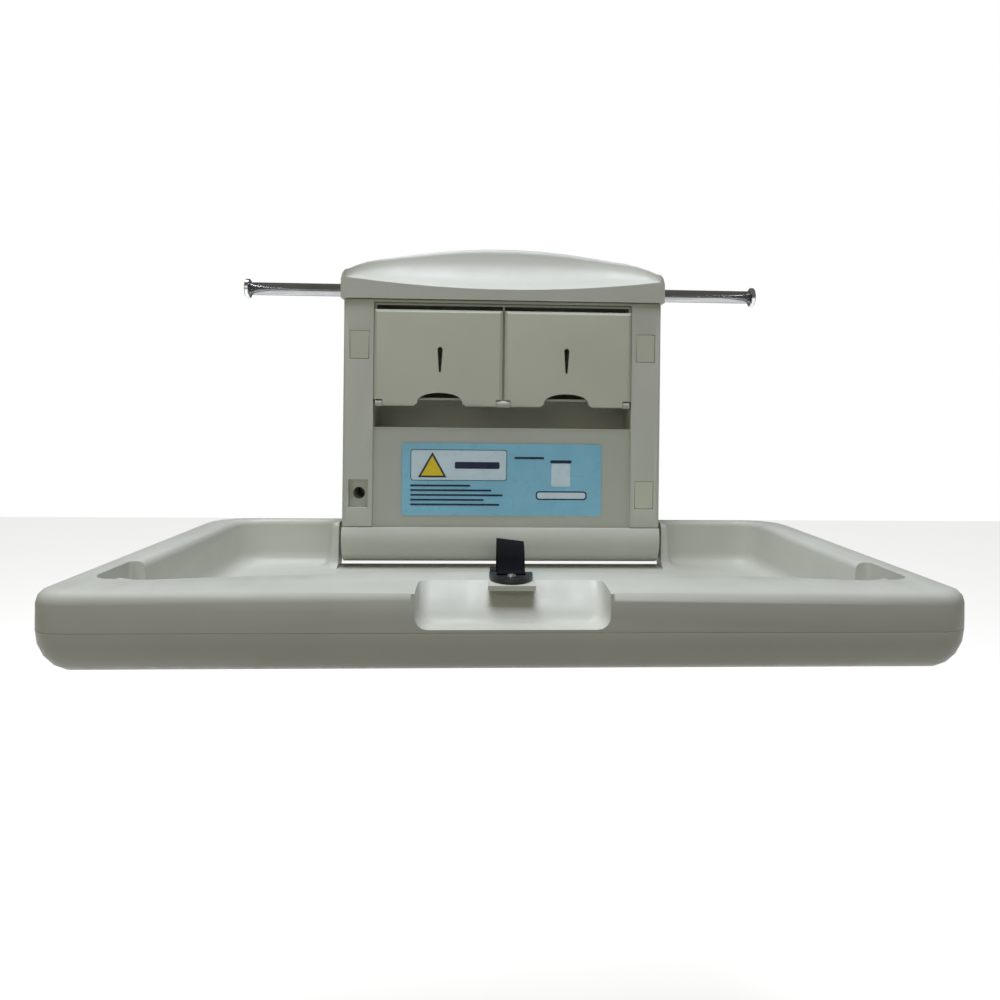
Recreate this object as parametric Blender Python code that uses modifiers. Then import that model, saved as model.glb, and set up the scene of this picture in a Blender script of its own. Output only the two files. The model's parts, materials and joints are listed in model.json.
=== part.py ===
"""Wall-mounted fold-down baby changing table, open, with its tray level.

Run with: blender --background --python part.py

Frame: metres, +Z up, the wall is the plane Y = 0 and the unit stands out from it towards -Y,
+X is to the right.  The origin is on the back face of the back plate, level with the tray's
hinge axis.  Most shapes are drawn in the hinge frame: Y and Z measured from the hinge axis,
which lies AXIS_OUT in front of the wall.  The object is mirror symmetric about X = 0 but for one
missing screw cover.
"""
import math

import bmesh
import bpy
from mathutils import Matrix, Vector

# ---- driving dimensions (metres) -------------------------------------------------------------
AXIS_OUT = 0.052          # hinge axis in front of the wall
GAP = 0.0003              # clearance between pieces that touch
WALL = 0.003              # moulded wall thickness

TRAY_HALF = 0.435         # half the tray's width
TRAY_FRONT = -0.5154      # tray's front face
TRAY_REAR = 0.0395        # tray's rear edge, behind the hinge axis
RIM_Z = 0.023             # top of the tray's rim
SEAM_Z = -0.0136          # parting line between the two shells
TRAY_BOTTOM = -0.0545     # underside of the tray
RIM_ROUND = 0.012         # rounding of the rim's outer edge
BOWL_ROUND = 0.036        # rounding of the lower shell's flanks
CORNER_FRONT = 0.032      # plan radius of the front corners
CORNER_REAR = 0.060       # plan radius of the rear corners

FLOOR_Z = -0.0425         # top of the tray's floor
FLOOR_T = 0.0025          # thickness of floor and lower shell
PLATE_T = 0.0016          # thickness of the steel plate under the floor
WELL_HALF = 0.390         # half the width of the well
WELL_FRONT = -0.405       # front wall of the well on the centre line
WELL_BOW = 0.347          # how fast the front wall curves forward with X squared
WELL_REAR = 0.0155        # rear wall of the well's wings
FLOOR_ROUND = 0.018       # rounding between wall and floor
LIP_ROUND = 0.008         # rounding of the rim's inner edge
DRAFT = 0.003             # how far the well's walls lean in from top to floor

EAR_IN = 0.2388           # inner face of the hinge ears
EAR_OUT = 0.250           # outer face of the hinge ears
EAR_TIP = -0.0205         # front edge of the hinge ears

UNIT_HALF = 0.2334        # half the width of the wall unit
PANEL_HALF = 0.190        # half the width of the panels between the columns
COLUMN_FRONT = -0.030     # front of the columns
COLUMN_FOOT = 0.0175      # lower end of the columns
PANEL_FRONT = -0.022      # front of the lower panel
PANEL_TOP = 0.164         # upper edge of the lower panel
OPENING_TOP = 0.3475      # upper edge of the dispenser's opening
HOUSING_TOP = 0.3515      # upper end of the housing
TUB_BACK = 0.043          # rear of the dispenser's niche

HOOD_HALF = 0.238
HOOD_FRONT = -0.034
HOOD_BOTTOM = 0.352
HOOD_CREST = 0.4404       # top of the hood on the centre line
SHOULDER = 0.80           # where the hood's shoulders begin, as a share of its half width
SCOOP_ROLL = 0.009        # rounding of the scoop's upper edge on the centre line
SCOOP_ROLL_LEAST = 0.05   # squared share of that rounding left at the scoop's ends
SCOOP_LIP = 0.3675        # scoop's lower edge on the centre line
SCOOP_BOW = 0.279         # how fast that edge rises with X squared

BARREL_R = 0.036
SHAFT_R = 0.007
SHAFT_HALF = 0.2472

DOOR_FRONT = -0.034
DOOR_TOP = 0.3365
DOOR_AXIS = (-0.0295, 0.1995)   # Y and Z of the dispenser doors' hinge, hinge frame

ROD_Y, ROD_Z = 0.014, 0.369
ROD_R = 0.0095
COLLAR_R = 0.0105          # stop collar at the rod's inner end
ROD_IN, ROD_OUT = 0.165, 0.3795
KNOB_R, KNOB_T = 0.0145, 0.0065

POCKET_X = 0.2105         # screw pockets
POCKET_Z = (0.0665, 0.2840)
POCKET_HALF = (0.0141, 0.0206)
POCKET_DEEP = 0.012

STRAP_HALF = 0.014
STRAP_T = 0.0016


# ---- scene and small tools ----------------------------------------------------------------------
def clear_scene():
    """Remove whatever the start-up file holds."""
    for old in list(bpy.data.objects):
        bpy.data.objects.remove(old, do_unlink=True)


clear_scene()
PARTS = bpy.data.collections.new("changing_table")
CUTTERS = bpy.data.collections.new("cutters")
bpy.context.scene.collection.children.link(PARTS)
bpy.context.scene.collection.children.link(CUTTERS)


def pivot(name, location):
    """An empty on a joint's axis, which carries the pieces that move with it."""
    empty = bpy.data.objects.new(name, None)
    empty.location = location
    empty.empty_display_size = 0.03
    PARTS.objects.link(empty)
    return empty


HINGE_FRAME = pivot("hinge_frame", (0, -AXIS_OUT, 0))


def material(name, colour, roughness, metallic=0.0):
    """A Principled material."""
    mat = bpy.data.materials.new(name)
    mat.use_nodes = True
    shader = mat.node_tree.nodes["Principled BSDF"]
    shader.inputs["Base Color"].default_value = (*colour, 1.0)
    shader.inputs["Roughness"].default_value = roughness
    shader.inputs["Metallic"].default_value = metallic
    mat.diffuse_color = (*colour, 1.0)
    return mat


def add_mesh(name, bm, collection=CUTTERS):
    """Turn a bmesh into an object; cutters are hidden from the render."""
    bmesh.ops.recalc_face_normals(bm, faces=bm.faces)
    mesh = bpy.data.meshes.new(name)
    bm.to_mesh(mesh)
    bm.free()
    obj = bpy.data.objects.new(name, mesh)
    collection.objects.link(obj)
    obj.parent = HINGE_FRAME
    if collection is CUTTERS:
        obj.hide_render = True
        obj.display_type = "WIRE"
    return obj


def finish(obj, name, mat, parent, smooth=True):
    """Make an object a named part: material, shading, and its place under its joint."""
    for collection in list(obj.users_collection):
        collection.objects.unlink(obj)
    PARTS.objects.link(obj)
    obj.name = name
    obj.hide_render = False
    obj.display_type = "TEXTURED"
    obj.data.materials.clear()
    obj.data.materials.append(mat)
    obj.parent = parent
    if smooth:
        obj.data.shade_smooth()
        obj.data.set_sharp_from_angle(angle=math.radians(35))
    return obj


def bevel(obj, width, segments=2, angle=50.0):
    """Round the sharp edges of an object."""
    mod = obj.modifiers.new("round", "BEVEL")
    mod.width = width
    mod.segments = segments
    mod.limit_method = "ANGLE"
    mod.angle_limit = math.radians(angle)
    mod.use_clamp_overlap = True
    return obj


def box(name, low, high, round_to=0.0, segments=2):
    """A box between two corners, with rounded edges if asked for."""
    bm = bmesh.new()
    bmesh.ops.create_cube(bm, size=1.0)
    size = Vector(high) - Vector(low)
    middle = (Vector(high) + Vector(low)) / 2
    bmesh.ops.transform(bm, matrix=Matrix.Diagonal((*size, 1.0)), verts=bm.verts)
    bmesh.ops.translate(bm, vec=middle, verts=bm.verts)
    obj = add_mesh(name, bm)
    if round_to:
        bevel(obj, round_to, segments)
    return obj


def cylinder(name, centre, axis, radius, length, sides=32, radius_end=None):
    """A cylinder, or a cone, about an axis through its middle."""
    bm = bmesh.new()
    end = radius if radius_end is None else radius_end
    bmesh.ops.create_cone(bm, cap_ends=True, segments=sides, radius1=radius, radius2=end, depth=length)
    turn = Vector((0, 0, 1)).rotation_difference(Vector(axis)).to_matrix().to_4x4()
    bmesh.ops.transform(bm, matrix=Matrix.Translation(Vector(centre)) @ turn, verts=bm.verts)
    return add_mesh(name, bm)


def loft(name, rings):
    """A closed solid through rings of equal count, each a list of 3-D points."""
    bm = bmesh.new()
    rows = [[bm.verts.new(point) for point in ring] for ring in rings]
    count = len(rows[0])
    for low, high in zip(rows, rows[1:]):
        for k in range(count):
            n = (k + 1) % count
            bm.faces.new((low[k], low[n], high[n], high[k]))
    bm.faces.new(list(reversed(rows[0])))
    bm.faces.new(rows[-1])
    return add_mesh(name, bm)


def flat_outline(name, points, depth, matrix):
    """A flat outline given thickness: a filled 2-D curve, made a mesh and set in place."""
    curve = bpy.data.curves.new(name, "CURVE")
    curve.dimensions = "2D"
    curve.fill_mode = "BOTH"
    curve.extrude = depth / 2
    spline = curve.splines.new("POLY")
    spline.points.add(len(points) - 1)
    for point, (u, v) in zip(spline.points, points):
        point.co = (u, v, 0.0, 1.0)
    spline.use_cyclic_u = True
    source = bpy.data.objects.new(name, curve)
    CUTTERS.objects.link(source)
    bpy.context.view_layer.update()
    evaluated = source.evaluated_get(bpy.context.evaluated_depsgraph_get())
    mesh = bpy.data.meshes.new_from_object(evaluated)
    bm = bmesh.new()
    bm.from_mesh(mesh)
    bmesh.ops.remove_doubles(bm, verts=bm.verts, dist=0.00001)
    bmesh.ops.transform(bm, matrix=matrix, verts=bm.verts)
    bpy.data.objects.remove(source, do_unlink=True)
    bpy.data.meshes.remove(mesh)
    return add_mesh(name, bm)


# a flat outline's (u, v) lie along world axes: u = Y, v = Z, thickness along X, and so on
ALONG_X = Matrix(((0, 0, 1, 0), (1, 0, 0, 0), (0, 1, 0, 0), (0, 0, 0, 1)))
ALONG_Y = Matrix(((1, 0, 0, 0), (0, 0, -1, 0), (0, 1, 0, 0), (0, 0, 0, 1)))


def boolean(target, tool, operation="DIFFERENCE"):
    """Cut a tool from a target, or join it on."""
    mod = target.modifiers.new(tool.name, "BOOLEAN")
    mod.object = tool
    mod.operation = operation
    mod.solver = "EXACT"
    return target


def cut(target, *tools):
    for tool in tools:
        boolean(target, tool)
    return target


def join(target, *tools):
    for tool in tools:
        boolean(target, tool, "UNION")
    return target


def rounded(points, steps=5):
    """An outline of (x, y, radius) corners with each corner turned into an arc."""
    out = []
    count = len(points)
    for i, (x, y, radius) in enumerate(points):
        here = Vector((x, y))
        if radius <= 0:
            out.append((x, y))
            continue
        before = Vector(points[i - 1][:2]) - here
        after = Vector(points[(i + 1) % count][:2]) - here
        half = before.angle(after) / 2
        reach = radius / math.tan(half)
        start = here + before.normalized() * reach
        end = here + after.normalized() * reach
        centre = here + (before.normalized() + after.normalized()).normalized() * radius / math.sin(half)
        first = start - centre
        sweep = first.angle_signed(end - centre)
        for k in range(steps + 1):
            spin = Matrix.Rotation(-sweep * k / steps, 2)
            out.append(tuple(centre + spin @ first))
    return out


def at_height(outline, z):
    return [(x, y, z) for x, y in outline]


# ---- the tray -------------------------------------------------------------------------------------
def tray_outline(inset):
    """Plan of the tray's outer edge, moved in by inset."""
    side = TRAY_HALF - inset
    front = TRAY_FRONT + inset
    rear = TRAY_REAR - inset
    tight = max(CORNER_FRONT - inset, 0.004)
    wide = max(CORNER_REAR - inset, 0.010)
    return rounded([(-side, front, tight), (side, front, tight), (side, rear, wide), (-side, rear, wide)], 6)


def front_wall(x, inset):
    """The bowed front wall of the well at X = x."""
    return WELL_FRONT - WELL_BOW * x * x + inset


def front_arc(half, inset):
    """Points along the bowed front wall, from -X to +X, between the rounded corners."""
    spans = 10
    reach = half - 0.055
    xs = [-reach + 2 * reach * k / spans for k in range(spans + 1)]
    return [(x, front_wall(x, inset), 0.0) for x in xs]


def well_outline(inset):
    """Plan of the well with its two wings beside the hinge barrel."""
    half = WELL_HALF - inset
    corner = front_wall(half, inset) + 0.004
    rear = WELL_REAR - inset
    ear = EAR_OUT + inset
    tip = EAR_TIP - inset
    outer = max(0.035 - inset, 0.008)
    inner = max(0.012 - inset, 0.003)
    soft = max(0.006 + inset, 0.001)
    right = [
        (half, corner, 0.042), (half, rear, outer), (ear, rear, inner), (ear, tip, soft),
    ]
    left = [(-x, y, r) for x, y, r in reversed(right)]
    return rounded(front_arc(half, inset) + right + left, 4)


def tub_outline(inset):
    """Plan of the moulding that holds the well, straight across the rear."""
    half = WELL_HALF - inset
    corner = front_wall(half, inset) + 0.004
    rear = WELL_REAR - inset
    right = [(half, corner, 0.042), (half, rear, 0.030)]
    left = [(-x, y, r) for x, y, r in reversed(right)]
    return rounded(front_arc(half, inset) + right + left, 4)


def well_profile(outline, grow):
    """Rings from the floor up: floor rounding, leaning wall, and the rounded inner rim."""
    rings = []
    low = FLOOR_Z - (FLOOR_T if grow else 0.0)
    for k in range(4):
        a = math.radians(90.0 * k / 3)
        inset = DRAFT + FLOOR_ROUND * (1 - math.sin(a)) - grow
        rings.append(at_height(outline(inset), low + FLOOR_ROUND * (1 - math.cos(a))))
    if grow:
        rings.append(at_height(outline(-grow), RIM_Z - 0.0015))
        return rings
    for k in range(4):
        a = math.radians(90.0 * k / 3)
        inset = -LIP_ROUND * (1 - math.cos(a))
        rings.append(at_height(outline(inset), RIM_Z - LIP_ROUND + LIP_ROUND * math.sin(a)))
    rings.append(at_height(outline(-LIP_ROUND), RIM_Z + 0.01))
    return rings


def tray_lid():
    """The outer walls and rim of the upper shell, open below."""
    rings = [at_height(tray_outline(0.0), SEAM_Z + GAP)]
    hollow = [at_height(tray_outline(WALL), SEAM_Z - 0.02)]
    for k in range(4):
        a = math.radians(90.0 * k / 3)
        inset = RIM_ROUND * (1 - math.cos(a))
        rise = RIM_ROUND * math.sin(a)
        rings.append(at_height(tray_outline(inset), RIM_Z - RIM_ROUND + rise))
        hollow.append(at_height(tray_outline(inset + WALL), RIM_Z - RIM_ROUND - WALL + rise))
    lid = loft("tray_upper", rings)
    return cut(lid, loft("cut_lid_hollow", hollow))


HANDLE_HALF = 0.0895      # half the width of the handle recess
HANDLE_ROUND = 0.012      # rounding of its lower corners
HANDLE_FLOOR = -0.0106    # floor of the handle recess
HANDLE_FOOT = -0.487      # back of its floor
HANDLE_HEAD = -0.452      # back of its open top
TAB_HALF = 0.0225         # the tab that carries the strap's bracket
TAB_FRONT = -0.483


def handle_cutter():
    """The handle recess: open to the front and above, with a leaning back wall."""
    rings = []
    steps = []
    for k in range(5):
        a = math.radians(90.0 * k / 4)
        rise = HANDLE_ROUND * (1 - math.cos(a))
        steps.append((HANDLE_FLOOR + rise, HANDLE_ROUND * (1 - math.sin(a)), 0.75 * rise))
    steps.append((RIM_Z + 0.01, 0.0, 0.044))
    for z, inset, back in steps:
        half = HANDLE_HALF - inset
        rear = HANDLE_FOOT + back
        front = TRAY_FRONT - 0.02
        outline = rounded([(-half, front, 0.001), (half, front, 0.001), (half, rear, 0.012), (-half, rear, 0.012)], 4)
        rings.append(at_height(outline, z))
    return loft("cut_handle", rings)


POCKET_IN = 0.380         # corner pockets of the well: inner, outer, front and rear limits
POCKET_OUT = 0.406
POCKET_FRONT = -0.4515
POCKET_REAR = -0.352
POCKET_FLOOR = -0.013


def corner_pocket(name, side, grow, low, high):
    """The pocket at a front corner of the well, with a round outer corner."""
    inner = side * (POCKET_IN - 0.01 * bool(grow))
    outer = side * (POCKET_OUT + grow)
    front = POCKET_FRONT - grow
    rear = POCKET_REAR + grow
    corners = [(inner, rear, 0.001), (outer, rear, 0.006), (outer, front, 0.024), (inner, front, 0.001)]
    outline = rounded(corners, 5)
    return loft(name, [at_height(outline, low), at_height(outline, high)])


SCREW_HEAD = TRAY_BOTTOM + 0.0003   # face of the tray screws' heads
BOSS_FOOT = TRAY_BOTTOM + 0.0096    # lower end of the bosses
BOSS_HEAD = 0.0214                  # upper end of the bosses
BOSSES = (
    (-0.4095, -0.28), (0.4095, -0.28), (-0.4095, -0.05), (0.4095, -0.05), (-0.20, -0.478), (0.20, -0.478),
)


def tray_upper(mat, parent):
    """Upper shell: rim, well, hinge ears, handle recess, corner pockets and screw bosses."""
    shell = tray_lid()
    join(shell, loft("add_tub", well_profile(tub_outline, WALL)))
    handle_low = (-HANDLE_HALF - WALL, TRAY_FRONT + 0.001, HANDLE_FLOOR - WALL + 0.0004)
    handle_high = (HANDLE_HALF + WALL, HANDLE_HEAD + 0.008, RIM_Z - 0.0012)
    join(shell, box("add_handle", handle_low, handle_high))
    for side, word in ((-1, "left"), (1, "right")):
        join(shell, corner_pocket(f"add_pocket_{word}", side, WALL, POCKET_FLOOR - WALL, RIM_Z - 0.0014))
        edges = sorted((side * (EAR_IN + 0.0001), side * (EAR_IN + WALL)))
        cap = box(f"add_cap_{word}", (edges[0], 0.012, SEAM_Z + 0.0006), (edges[1], TRAY_REAR - 0.001, 0.0212))
        join(shell, cap)
    for k, (x, y) in enumerate(BOSSES):
        middle = (x, y, (BOSS_FOOT + BOSS_HEAD) / 2)
        join(shell, cylinder(f"add_boss_{k}", middle, (0, 0, 1), 0.005, BOSS_HEAD - BOSS_FOOT, 16))
    cut(shell, loft("cut_well", well_profile(well_outline, 0.0)))
    cut(shell, box("cut_notch", (-EAR_IN, -0.060, FLOOR_Z), (EAR_IN, 0.070, 0.060)))
    cut(shell, handle_cutter())
    for side, word in ((-1, "left"), (1, "right")):
        cut(shell, corner_pocket(f"cut_pocket_{word}", side, 0.0, POCKET_FLOOR, RIM_Z + 0.01))
        middle = (side * (EAR_IN + SHAFT_HALF) / 2, 0, 0)
        depth = SHAFT_HALF - EAR_IN + 0.0010
        cut(shell, cylinder(f"cut_shaft_{word}", middle, (1, 0, 0), SHAFT_R + GAP, depth + 0.0004, 24))
    for k, (x, y) in enumerate(BOSSES):
        cut(shell, cylinder(f"cut_boss_{k}", (x, y, TRAY_BOTTOM + 0.020), (0, 0, 1), 0.0023, 0.032, 12))
    tab_low = (-TAB_HALF, TAB_FRONT, RIM_Z - 0.005)
    tab_high = (TAB_HALF, HANDLE_HEAD + 0.012, RIM_Z - 0.0002)
    join(shell, box("add_tab", tab_low, tab_high))
    return finish(shell, "tray_upper", mat, parent)


def tray_lower(mat, parent):
    """Lower shell: a shallow bowl that meets the upper shell at the seam."""
    outer, inner = [], []
    for k in range(6):
        a = math.radians(90.0 * k / 5)
        inset = BOWL_ROUND * (1 - math.cos(a))
        drop = (SEAM_Z - TRAY_BOTTOM) * math.sin(a)
        outer.append(at_height(tray_outline(inset), SEAM_Z - drop))
        inner.append(at_height(tray_outline(inset + FLOOR_T), SEAM_Z - drop + FLOOR_T))
    outer.reverse()
    inner.reverse()
    inner.append(at_height(tray_outline(FLOOR_T), SEAM_Z + 0.02))
    shell = loft("tray_lower", outer)
    cut(shell, loft("cut_bowl", inner))
    top = FLOOR_Z - FLOOR_T - GAP
    cut(shell, box("cut_rear_notch", (-EAR_IN - WALL - 0.001, -0.060, top), (EAR_IN + WALL + 0.001, 0.070, 0.02)))
    for k, (x, y) in enumerate(BOSSES):
        cut(shell, cylinder(f"cut_tray_screw_{k}", (x, y, TRAY_BOTTOM), (0, 0, 1), 0.0043, 0.02, 16))
    return finish(shell, "tray_lower", mat, parent)


SCREW_SHAPE = ((0.0, 0.0), (0.0039, 0.0), (0.0039, 0.0029), (0.0019, 0.0042), (0.0019, 0.0282), (0.0, 0.0292))


def tray_screws(mat, parent):
    """Screws through the lower shell into the upper shell's bosses."""
    names = ("left_mid", "right_mid", "left_rear", "right_rear", "left_front", "right_front")
    for name, (x, y) in zip(names, BOSSES):
        profile = [(r, SCREW_HEAD + rise) for r, rise in SCREW_SHAPE]
        screw = turned(f"tray_screw_{name}", profile, 12)
        screw.location = (x, y, 0.0)
        finish(screw, f"tray_screw_{name}", mat, parent)


def turned(name, profile, steps):
    """A solid of revolution about Z from a (radius, height) profile, given from its foot up."""
    mesh = bpy.data.meshes.new(name)
    points = list(reversed(profile))
    mesh.from_pydata([(r, 0.0, z) for r, z in points], [(i, i + 1) for i in range(len(points) - 1)], [])
    obj = bpy.data.objects.new(name, mesh)
    CUTTERS.objects.link(obj)
    obj.parent = HINGE_FRAME
    mod = obj.modifiers.new("turn", "SCREW")
    mod.steps = steps
    mod.render_steps = steps
    mod.use_merge_vertices = True
    mod.merge_threshold = 0.00001
    mod.use_smooth_shade = True
    return obj


def tray_steel(steel, parent):
    """The hinge shaft, the stiffening plate in the floor and the two side bars."""
    shaft = cylinder("hinge_shaft", (0, 0, 0), (1, 0, 0), SHAFT_R, 2 * SHAFT_HALF, 32)
    finish(shaft, "hinge_shaft", steel, parent)
    low = (-0.300, -0.385, FLOOR_Z - FLOOR_T - GAP - PLATE_T)
    plate = box("floor_plate", low, (0.300, -0.005, low[2] + PLATE_T))
    finish(plate, "floor_plate", steel, parent, smooth=False)
    for side, word in ((-1, "left"), (1, "right")):
        edges = sorted((side * 0.3955, side * 0.3990))
        bar = box(f"{word}_side_bar", (edges[0], -0.340, -0.018), (edges[1], -0.010, 0.014), 0.0008, 1)
        finish(bar, f"{word}_side_bar", steel, parent, smooth=False)


BRACKET_Z = RIM_Z + GAP
BRACKET_T = 0.0042
BRACKET_Y = (-0.4355, -0.4785)


def strap_parts(web, plastic, steel, parent):
    """The safety belt: bracket and screw on the front rim, arched strap, buckle, rear strap."""
    rear, front = BRACKET_Y
    neck = rear - 0.010
    lobe = []
    for k in range(13):
        a = math.pi * k / 12
        lobe.append((0.0215 * math.cos(a), neck + (front - neck) * math.sin(a)))
    outline = [(-0.0215, rear), (0.0215, rear)] + lobe
    lift = Matrix.Translation((0, 0, BRACKET_Z + BRACKET_T / 2))
    bracket = flat_outline("strap_bracket", outline, BRACKET_T, lift)
    cut(bracket, cylinder("cut_bracket", (0, -0.461, BRACKET_Z), (0, 0, 1), 0.0026, 0.02, 16))
    finish(bracket, "strap_bracket", plastic, parent)
    top = BRACKET_Z + BRACKET_T
    profile = [(0.0, RIM_Z + GAP), (0.0022, RIM_Z + GAP), (0.0022, top + GAP), (0.0046, top + GAP),
               (0.0042, top + 0.0018), (0.0022, top + 0.0026), (0.0, top + 0.0028)]
    screw = turned("strap_screw", profile, 16)
    screw.location = (0, -0.461, 0)
    finish(screw, "strap_screw", steel, parent)

    lay = FLOOR_Z + GAP + STRAP_T / 2
    start = top + GAP + STRAP_T / 2
    route = [
        (-0.4525, start), (-0.444, start + 0.0006), (-0.4375, 0.036), (-0.431, 0.045), (-0.420, 0.0535),
        (-0.407, 0.0565), (-0.395, 0.052), (-0.3865, 0.040), (-0.3820, 0.022), (-0.3795, 0.002),
        (-0.3775, -0.016), (-0.3730, -0.031), (-0.3665, -0.0385), (-0.3590, lay), (-0.3515, lay),
    ]
    finish(ribbon("front_strap", route), "front_strap", web, parent)
    finish(ribbon("rear_strap", [(-0.2885, lay), (-0.062, lay)]), "rear_strap", web, parent)

    low = FLOOR_Z + GAP
    socket = box("buckle_socket", (-0.0195, -0.3510, low), (0.0195, -0.3185, low + 0.0065), 0.002, 2)
    cut(socket, box("cut_socket", (-0.0135, -0.3340, low + 0.0018), (0.0135, -0.3100, low + 0.0048)))
    finish(socket, "buckle_socket", plastic, parent)
    tongue = box("buckle_tongue", (-0.0190, -0.3180, low), (0.0190, -0.2890, low + 0.0065), 0.0018, 2)
    join(tongue, box("add_tongue", (-0.0105, -0.3320, low + 0.0022), (0.0105, -0.3160, low + 0.0044)))
    finish(tongue, "buckle_tongue", plastic, parent)

    anchor = box("rear_anchor", (-0.017, -0.0615, low), (0.017, -0.036, low + 0.0034), 0.0008, 1)
    cut(anchor, cylinder("cut_anchor", (0, -0.046, low), (0, 0, 1), 0.0024, 0.02, 16))
    finish(anchor, "rear_anchor", plastic, parent)
    head = low + 0.0034
    profile = [(0.0, low), (0.0020, low), (0.0020, head + GAP), (0.0042, head + GAP),
               (0.0036, head + 0.0018), (0.0, head + 0.0022)]
    screw = turned("rear_anchor_screw", profile, 16)
    screw.location = (0, -0.046, 0)
    finish(screw, "rear_anchor_screw", steel, parent)


def ribbon(name, route):
    """A strap: the route (Y, Z) given half its thickness on each side, extruded along X."""
    upper, lower = [], []
    last = len(route) - 1
    for k, point in enumerate(route):
        here = Vector(point)
        before = Vector(route[max(k - 1, 0)])
        after = Vector(route[min(k + 1, last)])
        along = (after - before).normalized()
        side = Vector((-along.y, along.x)) * STRAP_T / 2
        upper.append(tuple(here + side))
        lower.append(tuple(here - side))
    return flat_outline(name, upper + lower[::-1], 2 * STRAP_HALF, ALONG_X)


# ---- the wall unit ----------------------------------------------------------------------------------
def back_plate(steel, parent):
    """Steel plate against the wall, with the four mounting holes."""
    low = (-UNIT_HALF + 0.004, AXIS_OUT - 0.003, -0.030)
    high = (UNIT_HALF - 0.004, AXIS_OUT, 0.380)
    plate = box("back_plate", low, high)
    for name, x, z in pockets():
        cut(plate, cylinder(f"cut_plate_{name}", (x, AXIS_OUT, z), (0, 1, 0), 0.0038, 0.02, 20))
    return finish(plate, "back_plate", steel, parent, smooth=False)


def pockets():
    """Name and place of each wall screw and its cover."""
    low, high = POCKET_Z
    return (
        ("bottom_left", -POCKET_X, low), ("bottom_right", POCKET_X, low),
        ("top_left", -POCKET_X, high), ("top_right", POCKET_X, high),
    )


def housing(mat, parent):
    """Moulded body: two columns, the niche of the liner dispenser and the lower panel."""
    back = AXIS_OUT - 0.003 - GAP
    low, high = (-UNIT_HALF, COLUMN_FRONT, COLUMN_FOOT), (UNIT_HALF, back, HOUSING_TOP)
    body = box("housing", low, high)
    bevel(body, 0.003, 2)
    panel_low = (-PANEL_HALF, COLUMN_FRONT - 0.01, 0.0)
    cut(body, box("cut_panel", panel_low, (PANEL_HALF, PANEL_FRONT, PANEL_TOP), 0.002, 2))
    niche_low = (-PANEL_HALF, COLUMN_FRONT - 0.01, PANEL_TOP)
    cut(body, box("cut_niche", niche_low, (PANEL_HALF, TUB_BACK, OPENING_TOP)))
    panel_hollow = (-PANEL_HALF + 0.001, PANEL_FRONT + WALL, COLUMN_FOOT + 0.0025)
    cut(body, box("cut_panel_hollow", panel_hollow, (PANEL_HALF - 0.001, back + 0.01, PANEL_TOP - WALL)))
    for side in (-1, 1):
        tag = "left" if side < 0 else "right"
        edges = sorted((side * (PANEL_HALF + 0.002), side * (UNIT_HALF - WALL)))
        spans = ((0.092, 0.258), (0.310, HOUSING_TOP - WALL))
        for k, (foot, head) in enumerate(spans):
            low = (edges[0], COLUMN_FRONT + WALL, foot)
            cut(body, box(f"cut_column_{tag}_{k}", low, (edges[1], back + 0.01, head)))
    half_x, half_z = POCKET_HALF
    for name, x, z in pockets():
        low = (x - half_x, COLUMN_FRONT - 0.01, z - half_z)
        high = (x + half_x, COLUMN_FRONT + POCKET_DEEP, z + half_z)
        cut(body, box(f"cut_pocket_{name}", low, high))
        middle = (x, 0.0, z)
        cut(body, cylinder(f"cut_head_{name}", (x, 0.008, z), (0, 1, 0), 0.0088, 0.060, 20))
        cut(body, cylinder(f"cut_hole_{name}", middle, (0, 1, 0), 0.0036, 0.20, 16))
    return finish(body, "housing", mat, parent)


def hood_top(x):
    """Height of the hood's outline at X: a shallow arch that drops into round shoulders."""
    u = abs(x) / HOOD_HALF
    arch = HOOD_CREST - 0.0255 * (u / 0.86) ** 2
    shoulder = max(u - SHOULDER, 0.0) / (1 - SHOULDER)
    return arch - 0.027 * (1 - math.sqrt(max(1 - shoulder ** 2, 0.0)))


def scoop_rear(x):
    """How far back the scoop's upper edge lies at X."""
    u = min(abs(x) / 0.2330, 1.0)
    return HOOD_FRONT - 0.004 + 0.075 * math.sqrt(1 - u ** 5)


def scoop_section(x, grow):
    """The scoop's section at X: a quarter ellipse from the lip back and up, and a rolled upper edge."""
    low = SCOOP_LIP + SCOOP_BOW * x * x - grow
    rear = scoop_rear(x) + grow
    high = max(hood_top(x), low + 0.004) + 0.0011
    front = HOOD_FRONT - 0.010
    points = [(x, front, low)]
    roll = SCOOP_ROLL * math.sqrt(max(1 - (x / 0.2330) ** 2, SCOOP_ROLL_LEAST))
    roll = min(roll, (high - low) / 3)
    turn = math.acos(roll / (high - low))
    for k in range(9):
        a = turn * k / 8
        y = HOOD_FRONT + (rear - HOOD_FRONT) * math.sin(a)
        z = low + (high - low) * (1 - math.cos(a))
        points.append((x, y, z))
    edge = points[-1][1]
    for k in range(1, 4):
        a = math.radians(26.0 * k)
        points.append((x, edge + roll * (1 - math.cos(a)), high - roll + roll * math.sin(a)))
    points.append((x, edge + roll, HOOD_CREST + 0.02))
    points.append((x, front, HOOD_CREST + 0.02))
    return points


def scoop_stations(half):
    """X stations across the scoop, closer together near its ends."""
    count = 17
    return [half * math.sin(math.pi / 2 * (2 * k / count - 1)) for k in range(count + 1)]


def hood_outline(inset, foot):
    """Front view of the hood: straight foot, round shoulders, shallow arch."""
    half = HOOD_HALF - inset
    points = [(half, foot)]
    for k in range(25):
        a = math.pi * k / 24
        x = half * math.cos(a)
        points.append((x, hood_top(x * HOOD_HALF / half) - inset))
    points.append((-half, foot))
    return points


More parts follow.
